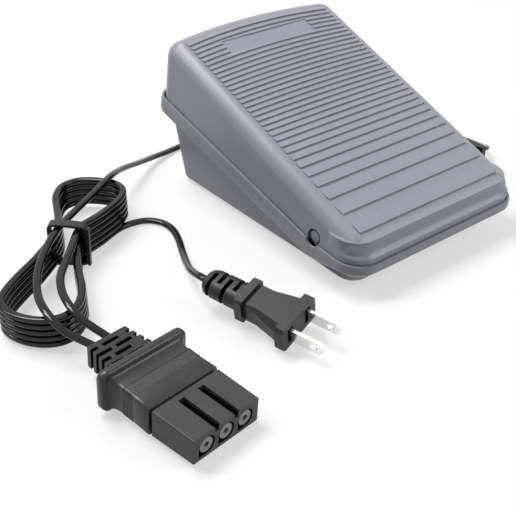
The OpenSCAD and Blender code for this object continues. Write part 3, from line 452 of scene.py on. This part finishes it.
def tube_faces(rings, count):
    """Quads between rings of count points each, and a face over either end."""
    quads = [
        (i * count + k, i * count + (k + 1) % count,
         (i + 1) * count + (k + 1) % count, (i + 1) * count + k)
        for i in range(rings - 1) for k in range(count)
    ]
    last = (rings - 1) * count
    return quads + [tuple(range(count))[::-1], tuple(last + k for k in range(count))]


def collar_sections():
    """Outlines along the connector's axis: place, width, height and corner radius."""
    out = [
        (20.0, flange_w - 1.6, flange_h - 1.6, flange_r - 0.8),
        (20.3, flange_w - 0.5, flange_h - 0.5, flange_r - 0.2),
        (20.9, flange_w, flange_h, flange_r),
        (22.9, flange_w, flange_h, flange_r),
        (23.6, flange_w - 0.4, flange_h - 0.4, flange_r - 0.1),
        (24.0, flange_w - 1.2, flange_h - 1.2, flange_r - 0.4),
    ]
    for i in range(flare_steps + 1):
        t = math.pi / 2 * i / flare_steps
        grow = 2 * flare_out * (1 - math.sin(t))
        z = flare_from + (flare_to - flare_from) * (1 - math.cos(t))
        out.append((z, neck_w + grow, neck_h + grow * 0.62, neck_r + grow * 0.25))
    for k in range(flutes):
        z = flute_from + flute_pitch * k
        for step, up in ((0, 0), (0.15, flute_up), (0.4, flute_up), (0.55, 0)):
            out.append((z + step, neck_w + 2 * up, neck_h + 2 * up, neck_r))
    return out + [
        (36.6, neck_w + 0.2, neck_h, neck_r),
        (groove_at - 0.3, 35.6, 13.0, 1.3),
        (groove_at + 0.08, 35.1, 12.5, 1.1),
    ]


def rounded_ring(z, w, h, r, corner=6):
    """The points of one outline; corner is the number of steps round a corner."""
    if z < rise_falls:
        lift = collar_rise * (h - block_high) / rise_over
    else:
        fall = max(0, (groove_at - z) / (groove_at - rise_falls))
        lift = collar_rise * (neck_h - block_high) / rise_over * fall
    out = []
    for q, (sx, sy) in enumerate(((1, 1), (-1, 1), (-1, -1), (1, -1))):
        for i in range(corner + 1):
            a = math.pi / 2 * (q + i / corner)
            x = sx * (w / 2 - r) + r * math.cos(a)
            y = sy * (h / 2 - r) + r * math.sin(a) + lift
            out.append(Vector((x, y, z)))
    return out


sections = [rounded_ring(*c) for c in collar_sections()]
collar_mesh = bpy.data.meshes.new("connector_collar")
collar_mesh.from_pydata(
    [p for ring in sections for p in ring], [], tube_faces(len(sections), len(sections[0])))
collar_mesh.transform(connector_place)
collar_mesh.materials.append(pvc_collar)
collar = placed("connector_collar", collar_mesh)
picked(collar)
bpy.ops.object.shade_smooth_by_angle(angle=math.radians(40))
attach(collar, "base")
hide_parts("connector_body")


# ---------------------------------------------------------------- cords
def flown(points, steps):
    """Smooth curve in metres through points chosen in mm, with steps from each to the next."""
    p = [Vector(q) * MM for q in points]
    p = [2 * p[0] - p[1]] + p + [2 * p[-1] - p[-2]]
    out = []
    for i in range(1, len(p) - 2):
        a, b, c, d = p[i - 1:i + 3]
        for k in range(steps):
            u = k / steps
            bend = (2 * a - 5 * b + 4 * c - d) * u * u
            twist = (3 * b - a - 3 * c + d) * u ** 3
            out.append(0.5 * (2 * b + (c - a) * u + bend + twist))
    return out + [p[-2]]


cord_w, cord_t = 3.6 * MM, 2.7 * MM
SIDES = 20
# How square the cord's section is, how deep the furrow runs as a share of half
# its thickness, and the furrow's half width as a share of half the cord's width.
cord_square, furrow_deep, furrow_half = 0.8, 0.16, 0.26


def cord_section():
    """Two round cores side by side under one skin, with a shallow furrow between them."""
    out = []
    for i in range(SIDES):
        a = math.tau * (i + 0.5) / SIDES
        x = math.copysign(abs(math.cos(a)) ** cord_square, math.cos(a))
        furrow = 1 - furrow_deep * math.exp(-(x / furrow_half) ** 2)
        y = math.copysign(abs(math.sin(a)) ** cord_square, math.sin(a)) * furrow
        out.append((x * cord_w / 2, y * cord_t / 2))
    return out


def cord_mesh(name, line):
    """Flat twin cord along line, lying on its flat."""
    section = cord_section()
    verts = []
    for i, p in enumerate(line):
        way = (line[min(i + 1, len(line) - 1)] - line[max(i - 1, 0)]).normalized()
        side = way.cross(Vector((0, 0, 1))).normalized()
        up = side.cross(way)
        verts += [p + side * x + up * y for x, y in section]
    mesh = bpy.data.meshes.new(name)
    mesh.from_pydata(verts, [], tube_faces(len(line), SIDES))
    bm = bmesh.new()
    bm.from_mesh(mesh)
    bmesh.ops.recalc_face_normals(bm, faces=bm.faces)
    bm.to_mesh(mesh)
    bm.free()
    for f in mesh.polygons:
        f.use_smooth = len(f.vertices) == 4
    mesh.materials.append(pvc_lead)
    piece = placed(name, mesh)
    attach(piece, "base")
    return piece


def pointing(turn, dip):
    """The way that a piece's axis runs, from its turn and dip in degrees."""
    t, d = math.radians(turn), math.radians(dip)
    return Vector((math.sin(t) * math.cos(d), -math.cos(t) * math.cos(d), -math.sin(d)))


# How far from the connector's axis each lead goes in, and how far a lead runs
# straight out of a piece, in mm.
lead_apart, straight = 4, 4


def plug_entry(out):
    return plug_at - out * pointing(plug_turn, plug_dip)


def connector_entry(side, out):
    t, r = math.radians(connector_turn), math.radians(connector_roll)
    across_it = Vector((math.cos(t) * math.cos(r), math.sin(t) * math.cos(r), math.sin(r)))
    back = out * pointing(connector_turn, connector_dip)
    return connector_at + side * lead_apart * across_it - back


# The hank: turns of one closed line, each lying on the one below; the line in plan,
# how far it lifts where its runs cross, and the rise of one turn, all in mm; then
# the way that the leads run on out of it.
hank_line = [
    (-133.2, 25.5), (-143, 11.5), (-148.5, -1), (-153.5, -12.5), (-160, -21), (-168, -25),
    (-176, -23), (-182.5, -16.5), (-186, -8), (-185.5, -0.5), (-180, 6), (-170, 13),
    (-157.2, 20.2), (-141.8, 32), (-134.8, 43.5), (-130, 54), (-125, 64), (-117.5, 71),
    (-108.5, 71), (-101, 65), (-95.5, 56), (-96.5, 47), (-104, 39.5), (-118, 32.5),
]
hank_lift = [1.2, 0.6] + [0] * 10 + [0.6, 1.2, 0.6] + [0] * 8 + [0.6]
hank_turns, hank_floor, hank_pitch = 5, 1.5, 3.1
hank_way = Vector((-0.75, -0.66, 0)).normalized()


def hank_at(j):
    i = j % len(hank_line)
    return Vector((*hank_line[i], hank_floor + hank_pitch * j / len(hank_line) + hank_lift[i]))


hank_last = hank_turns * len(hank_line)
hank_path = (
    [hank_at(0), hank_at(0) + straight * hank_way]
    + [hank_at(j) for j in range(1, hank_last)]
    + [hank_at(hank_last) - straight * hank_way, hank_at(hank_last)]
)
pedal_route = [
    (87.8, -25.3, 9.5), (91.8, -25.3, 9.5), (101, -22.5, 6.5), (107, -10, 2), (106, 8, 1.5),
    (101, 27, 1.5), (95, 46, 1.5), (88, 65, 1.5), (77, 82, 1.5), (60, 94, 1.5), (41, 99.5, 1.5),
    (21, 101, 1.5), (1, 100, 1.5), (-18, 97, 1.5), (-36, 94, 1.8), (-53, 88.5, 4.5),
    (-67, 80.5, 9), (-82.5, 70.5, 14.8), (-96, 59.5, 19.4), (-112, 48.5, 20), (-128, 39, 19.8),
    (-142, 30, 19.5), (-154, 18.5, 19.2), (-164.5, 5.5, 18.6), (-172, -8.5, 18),
    (-175, -22, 17.6), (-173.5, -33, 14.2), connector_entry(-1, straight), connector_entry(-1, 0),
]
plug_route = [
    plug_entry(0), plug_entry(straight), (-104.2, -24, 9), (-100, -14, 5.6), (-93.5, -0.5, 2.4),
    (-87.5, 12, 1.5), (-84.5, 22, 1.5), (-85, 30, 1.5), (-89.5, 36.5, 1.5), (-97, 39.2, 1.5),
    (-106, 38.5, 1.5), (-118, 33.5, 1.6), hank_at(0) - straight * hank_way, hank_at(0),
]
connector_route = [
    hank_at(hank_last), hank_at(hank_last) + straight * hank_way, (-144, 13.5, 18.2),
    (-152, 4.5, 18.2), (-158.5, -3.5, 18.2), (-163, -13, 18), (-165.2, -23, 17.6),
    (-164.5, -31.5, 15), connector_entry(1, straight), connector_entry(1, 0),
]

pedal_line = flown(pedal_route, 5)
pedal_cord = cord_mesh("pedal_cord", pedal_line)
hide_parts("pedal_lead")
# The mains lead runs from the connector through the hank to the plug.
mains_line = flown(connector_route[::-1], 4)
for route in (hank_path, plug_route):
    mains_line += flown(route[::-1], 4)[1:]
mains_cord = cord_mesh("mains_cord", mains_line)
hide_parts("lead_connector_run", "lead_hank", "lead_plug_run")


# ---------------------------------------------------------------- floor, backdrop and light
# White paper, which glows where it is seen: by half near the object, so that its
# shadow shows, and wholly further out, so that no edge does. What it sends back to
# the object is dimmer than its own white.
floor_m = bpy.data.materials.new("paper_sweep_white")
floor_m.use_nodes = True
ft = floor_m.node_tree
ft.nodes.clear()
rays = add(ft, "ShaderNodeLightPath")
# Sockets 6 and 7 of a mix of colours are its two colours, and its output 2 their mix.
bounce = add(
    ft, "ShaderNodeMix", {"data_type": "RGBA"}, Factor=rays.outputs["Is Diffuse Ray"],
    i6=linear("f6f6f6"), i7=linear("a4a4a4"),
)
paper = add(
    ft, "ShaderNodeBsdfPrincipled", None, Base_Color=bounce.outputs[2], Roughness=0.28, IOR=1.3,
)
glow = add(ft, "ShaderNodeEmission", None, Color=linear(WHITE), Strength=1.0)
seen = add(
    ft, "ShaderNodeMath", {"operation": "MAXIMUM"},
    i0=rays.outputs["Is Camera Ray"], i1=rays.outputs["Is Glossy Ray"],
)
where = add(ft, "ShaderNodeTexCoord").outputs["Object"]
far = add(ft, "ShaderNodeVectorMath", {"operation": "LENGTH"}, i0=where)
fade = add(
    ft, "ShaderNodeMapRange", None, Value=far.outputs["Value"],
    From_Min=0.45, From_Max=1.0, To_Min=0.55, To_Max=1.0,
)
share = add(
    ft, "ShaderNodeMath", {"operation": "MULTIPLY"}, i0=seen.outputs[0], i1=fade.outputs["Result"],
)
both = add(
    ft, "ShaderNodeMixShader", None, Fac=share.outputs[0], i1=paper.outputs[0], i2=glow.outputs[0],
)
add(ft, "ShaderNodeOutputMaterial", None, Surface=both.outputs[0])

bpy.ops.mesh.primitive_plane_add(size=6.0, location=(0, 0, 0))
floor = bpy.context.object
floor.name = "floor"
floor.data.materials.append(floor_m)

# A white room: full white where it is seen, and a soft fill otherwise.
world = bpy.data.worlds.new("studio")
bpy.context.scene.world = world
world.use_nodes = True
wt = world.node_tree
wt.nodes.clear()
rays = add(wt, "ShaderNodeLightPath")
seen = rays.outputs["Is Camera Ray"]
for kind in ("Is Transmission Ray", "Is Glossy Ray"):
    seen = add(
        wt, "ShaderNodeMath", {"operation": "MAXIMUM"}, i0=seen, i1=rays.outputs[kind],
    ).outputs[0]
white = add(wt, "ShaderNodeBackground", None, Color=linear(WHITE), Strength=1.0)
soft = add(wt, "ShaderNodeBackground", None, Color=linear(WHITE), Strength=0.17)
room = add(wt, "ShaderNodeMixShader", None, Fac=seen, i1=soft.outputs[0], i2=white.outputs[0])
add(wt, "ShaderNodeOutputWorld", None, Surface=room.outputs[0])


def softbox(name, at, to, size, watts):
    """An area light at a place, turned to another; places and size in metres."""
    bpy.ops.object.light_add(type="AREA", location=at)
    lamp = bpy.context.object
    lamp.name = name
    lamp.data.shape = "RECTANGLE"
    lamp.data.size, lamp.data.size_y = size
    lamp.data.energy = watts
    lamp.rotation_mode = "QUATERNION"
    lamp.rotation_quaternion = (Vector(to) - Vector(at)).to_track_quat("-Z", "Y")


softbox("overhead_softbox", (-0.2, 0.45, 1.05), (-0.04, 0.0, 0.0), (0.6, 0.45), 10.5)
softbox("front_softbox", (0.62, -0.75, 0.6), (0.0, 0.0, 0.03), (0.6, 0.5), 5.4)
softbox("rear_strip", (-0.66, 0.5, 0.8), (-0.04, 0.0, 0.05), (0.06, 0.5), 3.4)

bpy.context.scene.view_settings.view_transform = "Standard"
